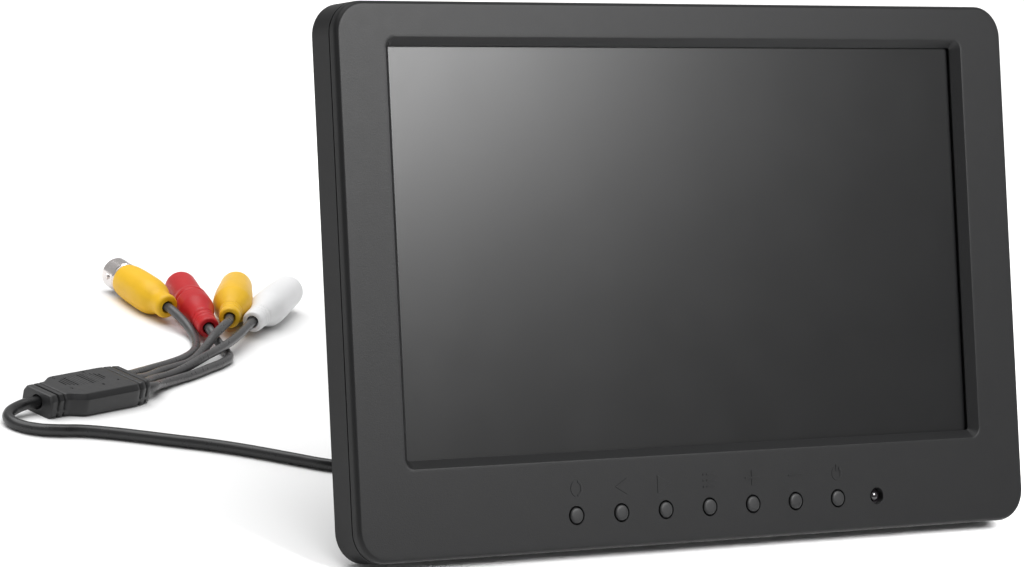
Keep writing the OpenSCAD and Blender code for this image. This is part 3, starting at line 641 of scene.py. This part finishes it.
def make_gland():
    """The strain relief of the cable: a flange and a tapered, grooved sleeve."""
    y = GLAND.y
    profile = [(0, y - 3.7), (5.4, y - 3.7), (5.4, y - 2.25), (4, y - 2.25), (4, y + 0.05), (4.9, y + 0.05),
               (5.2, y + 0.35), (5.2, y + 1.3), (4.9, y + 1.6), (4, y + 2.2)]
    grooves = 4
    for i in range(grooves):
        start = y + 3 + i * 2
        r = 3.9 - 1.4 * (start - y - 2.2) / (GLAND_L - 2.2)
        profile += [(r, start), (r - 0.5, start + 0.15), (r - 0.6, start + 0.95), (r - 0.12, start + 1.1)]
    profile += [(2.6, y + GLAND_L - 0.4), (2.4, y + GLAND_L), (1.75, y + GLAND_L), (1.75, y + GLAND_L - 1.5),
                (0, y + GLAND_L - 1.5)]
    place = at_front(GLAND.x, GLAND.z)
    piece("strain_relief", turned(profile), place, "rubber", "monitor", "cable_gland")


def make_foot_pad():
    """The leg's rubber foot, with grooves across its sole."""
    low, high = (Vector(v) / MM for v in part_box("kickstand_pad"))
    mid = (low + high) / 2
    w, l, h = high - low
    outline = [(-l / 2, 0.4), (-l / 2 + 0.4, 0)]
    grooves = 4
    for i in range(grooves):
        y = -l / 2 + (i + 0.75) * l / (grooves + 0.5)
        outline += [(y, 0), (y + 0.2, 0.5), (y + 1.1, 0.5), (y + 1.3, 0)]
    outline += [(l / 2 - 0.4, 0), (l / 2, 0.4), (l / 2, h - 0.3), (l / 2 - 0.3, h), (0.3 - l / 2, h),
                (-l / 2, h - 0.3)]
    rings = [[(x, y, z) for y, z in outline] for x in (-w / 2, w / 2)]
    place = SCALE @ Matrix.Translation((mid.x, mid.y, 0))
    piece("foot_pad", skin(rings), place, "rubber", "leg", "kickstand_pad")


# ---------------------------------------------------------------- harness


def block_ring(u, groove):
    """The splitter block's section at a place along it, cut in where a groove runs."""
    nose, flare, full, drawn_in = 5.9, 0.3, BLOCK_W / 2, 1.4
    taper_start, taper_end, lead_end = BLOCK_NOSE_L - BLOCK_L / 2, -7, BLOCK_L / 2 - BLOCK_LEAD_END_L
    end_round, groove_depth, groove_low, groove_high = 0.6, 0.8, 1.2, 2.8
    if u <= taper_start:
        half = nose + flare * (u + BLOCK_L / 2) / BLOCK_NOSE_L
    elif u <= taper_end:
        t = (u - taper_start) / (taper_end - taper_start)
        half = nose + flare + (full - nose - flare) * t * t * (3 - 2 * t)
    else:
        half = full - drawn_in * (max(0, u - lead_end) / BLOCK_LEAD_END_L) ** 2
    ends = 1 - min(BLOCK_L / 2 - abs(u), end_round) / end_round
    half -= 0.35 * ends ** 2
    top = BLOCK_H - 0.3 * ends ** 2
    side = [(1.5, 0), (0.6, 0.15), (0.12, 0.6), (0, 1.2), (0, 1.6), (0, 2.4), (0, 2.8), (0, top - 1.75),
            (0.1, top - 1.5), (0.95, top - 0.22), (1.25, top - 0.04), (1.5, top)]
    right = []
    for inwards, z in side:
        cut = groove and (z <= groove_low or z >= groove_high)
        right.append((half - inwards - (groove_depth if cut else 0), min(z, top - 0.6) if cut else z))
    return [(u, v, z) for v, z in right] + [(u, -v, z) for v, z in reversed(right)]


def rib_cuts():
    """Fine slots across an oval patch on the block's top, and the small pits round it."""
    cuts = []
    slots, pitch, half_slot, depth = 15, 1.15, 0.24, 0.28
    patch_u, patch_v, patch_mid = 8.9, 3.6, 1.9
    for i in range(slots):
        u = (i - (slots - 1) / 2) * pitch
        reach = patch_v * math.sqrt(max(0.05, 1 - (u / patch_u) ** 2))
        slot = [(u - half_slot, patch_mid - reach), (u + half_slot, patch_mid - reach),
                (u + half_slot, patch_mid + reach), (u - half_slot, patch_mid + reach)]
        cuts.append((*prism(slot, BLOCK_H - depth, BLOCK_H + 1), Matrix.Identity(4)))
    pit = turned([(0, BLOCK_H - 0.5), (0.45, BLOCK_H - 0.4), (0.6, BLOCK_H + 1), (0, BLOCK_H + 1)], 20)
    for u, v in ((-8.6, -2.4), (3.2, -3.6), (10.6, -2.6), (-7.5, 6), (5, 6.4)):
        cuts.append((*pit, Matrix.Translation((u, v, 0))))
    return cuts


def make_block():
    """The moulded splitter: two grooves on its nose, a ribbed oval on top, two grooves at the lead end."""
    half_l = BLOCK_L / 2
    place = SCALE @ Matrix.Translation(BLOCK_MID) @ Matrix.Rotation(BLOCK_TURN, 4, "Z")
    half_groove, groove_edge = 0.45, 0.06
    grooves = [(mid - half_groove, mid + half_groove)
               for mid in (2.8 - half_l, 5.2 - half_l, half_l - 5.5, half_l - 2.5)]
    stations = [(sign * (half_l - s), False) for s in (0, 0.15, 0.35, 0.6) for sign in (-1, 1)]
    stations += [(BLOCK_NOSE_L - half_l + i * 0.55, False) for i in range(12)]
    stations += [(half_l - s, False) for s in (9, 8, 7, 4, 1.5)]
    for start, end in grooves:
        stations += [(start, False), (start + groove_edge, True), (end - groove_edge, True), (end, False)]
    stations.sort()
    block = solid("splitter", *skin([block_ring(u, groove) for u, groove in stations]), place)
    cut_out(block, *join_shapes(rib_cuts()), place)

    along = Matrix.Rotation(math.radians(90), 4, "Y")
    ends = [(*turned([(0, -1), (2.5, -1), (1.95, 0.9), (0, 0.9)], 40),
             Matrix.Translation((-half_l, 0, BLOCK_H / 2)) @ along)]
    for across in PORTS.values():
        ends.append((*turned([(0, -0.6), (1.45, -0.6), (1.75, 1), (0, 1)], 32),
                     Matrix.Translation((half_l, across, BLOCK_H / 2)) @ along))
    cut_out(block, *join_shapes(ends), place)
    dress(block, "block")
    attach(block, "monitor")
    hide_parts("splitter_block")
    return block


def at_tail(kind):
    """Turns +Z into the axis of a connector, from its cable end."""
    start, turn, tilt = TAILS[kind]
    return (SCALE @ Matrix.Translation(start) @ Matrix.Rotation(math.radians(turn), 4, "Z")
            @ Matrix.Rotation(math.radians(90 - tilt), 4, "Y"))


def cable_hole(floor):
    """The end of an overmould: a hole round the lead, with a soft rim."""
    return [(0, floor), (1.7, floor), (1.75, 0.3), (1.95, 0)]


def make_bnc():
    """The coaxial socket: an overmould with a collar and a shoulder, and a shell with two lugs."""
    place = at_tail("bnc")
    body = cable_hole(2) + [
        (2.95, 0), (3.3, 0.15), (3.6, 0.5), (3.75, 1.1), (3.72, 2), (3.66, 3), (3.68, 4.2), (3.8, 5),
        (4.15, 5.7), (4.6, 6.5), (4.95, 7.3), (5.25, 8.3), (5.5, 9.6), (5.62, 11), (5.65, 12.5), (5.64, 15),
        (5.58, 18), (5.5, 20.5), (5.38, 22.2), (5.24, 23.5), (5.08, 24.5), (4.94, BNC_L),
        (BNC_SHELL_R, BNC_L - 0.05), (BNC_SHELL_R, BNC_L - BNC_ROOT), (0, BNC_L - BNC_ROOT)]
    over = piece("bnc_body", turned(body), place, "yellow", "monitor", "bnc_overmould", sharp=50)
    tip, outside, inside = BNC_L + BNC_SHELL_L, BNC_SHELL_R, BNC_SHELL_R - 0.65
    barrel = [(0, BNC_L - BNC_ROOT), (outside, BNC_L - BNC_ROOT), (outside, BNC_L + 0.4),
              (outside - 0.25, BNC_L + 0.55), (outside - 0.25, BNC_L + 1.1), (outside, BNC_L + 1.25),
              (outside, tip - 0.35), (outside - 0.1, tip - 0.08), (outside - 0.3, tip),
              (inside + 0.1, tip - 0.1), (inside, tip - 0.4), (inside, BNC_L - BNC_CAVITY),
              (0, BNC_L - BNC_CAVITY)]
    lug = turned([(0, outside - 0.4), (1, outside - 0.4), (1, outside + 0.45), (0.9, outside + 0.58),
                  (0.7, outside + 0.6), (0, outside + 0.6)], 28)
    lugs = [(*lug, Matrix.Translation((0, 0, tip - 3.2)) @ Matrix.Rotation(math.radians(turn), 4, "Z")
             @ Matrix.Rotation(math.radians(90), 4, "X")) for turn in (0, 180)]
    shell = piece("bnc_barrel", join_shapes([(*turned(barrel), Matrix.Identity(4))] + lugs), place, "nickel",
                  "monitor", "bnc_shell")
    return [over, shell, NODES["bnc_insulator"], NODES["bnc_contact"]]


def make_phono(colour):
    """A phono socket's sleeve: a ribbed collar, a bulb and a long mouth, stepped on the red one alone."""
    place = at_tail(colour)
    length, mouth, bulb, sleeve = PHONO_L, PHONO_MOUTH_R, BULB_R[colour], PHONO_SLEEVE_R
    if colour == "red":
        front = [(bulb, 19.8), (bulb - 0.07, 20.3), (bulb - 0.3, 20.55), (bulb - 0.37, 21),
                 (bulb - 0.3, 21.3), (bulb - 0.1, 21.5), (bulb - 0.1, 22.6), (bulb - 0.2, 23),
                 (sleeve - 0.08, 24.3), (sleeve - 0.1, 25), (sleeve - 0.04, 28), (sleeve, 31)]
    else:
        drawn_in = bulb - sleeve
        front = [(bulb, 19), (bulb - 0.1 * drawn_in, 22), (bulb - 0.3 * drawn_in, 25.5),
                 (bulb - 0.55 * drawn_in, 29), (bulb - 0.78 * drawn_in, 32), (bulb - 0.94 * drawn_in, 34.4)]
    body = cable_hole(2) + [
        (2.7, 0), (3.0, 0.12), (3.2, 0.45), (3.32, 1), (3.4, 2.8), (3.28, 2.95), (3.28, 3.3), (3.44, 3.45),
        (3.48, 4.8), (3.36, 4.95), (3.36, 5.3), (3.52, 5.45), (3.56, 6.8), (3.44, 6.95), (3.44, 7.3),
        (3.62, 7.45), (3.8, 8.8), (bulb - 1.35, 10.4), (bulb - 0.95, 11.8), (bulb - 0.55, 13),
        (bulb - 0.25, 13.9), (bulb - 0.05, 14.8), (bulb, 15.6)] + front + [
        (sleeve, length - 1.2), (sleeve - 0.12, length - 0.5), (sleeve - 0.3, length - 0.1),
        (mouth + 0.12, length), (mouth + 0.03, length - 0.1), (mouth, length - 0.4),
        (mouth, length - PHONO_DEPTH), (PHONO_SHELL_R, length - PHONO_DEPTH),
        (PHONO_SHELL_R, length - PHONO_DEPTH - PHONO_ROOT), (0, length - PHONO_DEPTH - PHONO_ROOT)]
    over = piece(colour + "_sleeve", turned(body), place, colour, "monitor", colour + "_overmould", sharp=50)
    base, tip = length - PHONO_DEPTH - PHONO_ROOT, length + 0.4
    outside, inside = PHONO_SHELL_R, PHONO_SHELL_R - 0.45
    barrel = [(0, base), (outside, base), (outside, tip - 0.3), (outside - 0.1, tip), (inside + 0.08, tip),
              (inside, tip - 0.2), (inside, base + PHONO_ROOT), (0, base + PHONO_ROOT)]
    shell = piece(colour + "_barrel", turned(barrel), place, "nickel", "monitor", colour + "_shell")
    return [over, shell, NODES[colour + "_insulator"], NODES[colour + "_contact"]]


def make_harness():
    """The cable, the splitter and the four leads, each with the connector at its end."""
    gland_dir = Vector((0, math.cos(RECLINE), -math.sin(RECLINE)))
    gland_tip = LEANED @ (GLAND + Vector((0, GLAND_L, 0))) / MM
    half_l = BLOCK_L / 2
    block = make_block()
    route = [gland_tip, gland_tip + STRAIGHT_OUT * gland_dir, *CABLE_ROUTE,
             on_block(-half_l - STRAIGHT_OUT, 0), on_block(-half_l, 0)]
    points = [gland_tip - 1.4 * gland_dir, *route, on_block(-half_l + 0.8, 0)]
    cable = cord_curve("harness_cable", points, CABLE_DIA)
    dress(cable, "cable")
    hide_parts("main_cable")
    for kind, middle in LEAD_ROUTES.items():
        tail, turn, tilt = TAILS[kind]
        tail, back = Vector(tail), heading(turn, tilt)
        port = on_block(half_l, PORTS[kind])
        ahead = on_block(half_l + STRAIGHT_OUT, PORTS[kind])
        route = [port, ahead, *middle, tail - STRAIGHT_IN * back, tail]
        points = [on_block(half_l - 0.5, PORTS[kind]), *route[1:], tail + 1.9 * back]
        lead = cord_curve(kind + "_lead", points, LEAD_DIA)
        dress(lead, "lead")
        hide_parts("lead_" + kind)
        ending = make_bnc() if kind == "bnc" else make_phono(kind)


# ---------------------------------------------------------------- CAD nodes that stay, floor and light

SOFT_EDGES = {"rear_cover": 0.3, "hinge_bracket": 0.4, "kickstand": 0.35, "case_screws": 0.08,
              "board_screws": 0.12, "hinge_pin": 0.15, "hinge_washers": 0.08, "lcd_frame": 0.12,
              "board_chips": 0.15, "board_capacitors": 0.3, "harness_header": 0.2, "main_board": 0.1,
              "button_board": 0.1, "tact_switches": 0.15, "ir_receiver": 0.25, "speaker_frame": 0.25,
              "mount_inserts": 0.15, "lcd_glass": 0.08}


def dress_nodes():
    """Every CAD node of the record gets its slot's material, and those listed in SOFT_EDGES get softer edges."""
    for part in frame["record"]["subparts"]:
        node = NODES[part["node"]]
        node.data.materials.clear()
        node.data.materials.append(LOOKS[part["material_slot"]])
        if part["node"] in SOFT_EDGES:
            softened(node, SOFT_EDGES[part["node"]])


SURROUND_STRENGTH = 0.48
# Each softbox: its place, the point it faces, the length of its side in metres and its power in watts
SOFTBOXES = {
    "top_light": ((-0.4, 0.5, 2.2), (-0.1, 0.1, 0), 2.6, 62),
    "left_light": ((-1.5, -0.2, 0.9), (0, 0.05, 0.05), 0.8, 0.8),
    "screen_sheen": ((0.215, -0.5, 0.485), (0, 0, 0.13), 0.27, 8),
}


def make_floor():
    """A plain pale floor, far wider than the view."""
    half = 6.0
    look = Look("floor", 0.85, specular=0.1).tinted((0.9, 0.9, 0.9), 0.01, 0.004).grain(0.5, 0.02, 0.2)
    floor = solid("floor", [(-half, -half, 0), (half, -half, 0), (half, half, 0), (-half, half, 0)],
                  [(0, 1, 2, 3)], Matrix.Identity(4))
    floor.data.materials.append(look.material)


def soft_light(name, place, target, side, power):
    """A square softbox that faces a point."""
    data = bpy.data.lights.new(name, "AREA")
    data.shape = "RECTANGLE"
    data.size, data.size_y = side, side
    data.energy = power
    light = bpy.data.objects.new(name, data)
    light.location = place
    light.rotation_euler = (Vector(target) - Vector(place)).to_track_quat("-Z", "Y").to_euler()
    bpy.context.scene.collection.objects.link(light)


def make_light():
    """An even grey surround and the softboxes; the screen's upper corner mirrors the last one."""
    scene = bpy.context.scene
    scene.world = bpy.data.worlds.new("surround")
    scene.world.use_nodes = True
    surround = scene.world.node_tree.nodes["Background"]
    surround.inputs["Color"].default_value = (1, 1, 1, 1)
    surround.inputs["Strength"].default_value = SURROUND_STRENGTH
    for name, values in SOFTBOXES.items():
        soft_light(name, *values)
    scene.view_settings.view_transform = "Standard"
    scene.view_settings.look = "None"


# ---------------------------------------------------------------- the whole kit

place_camera()
LOOKS = make_looks()
make_harness()
make_bezel()
make_icons()
make_buttons()
make_ir_window()
make_gland()
make_foot_pad()
dress_nodes()
make_floor()
make_light()

bpy.context.view_layer.update()
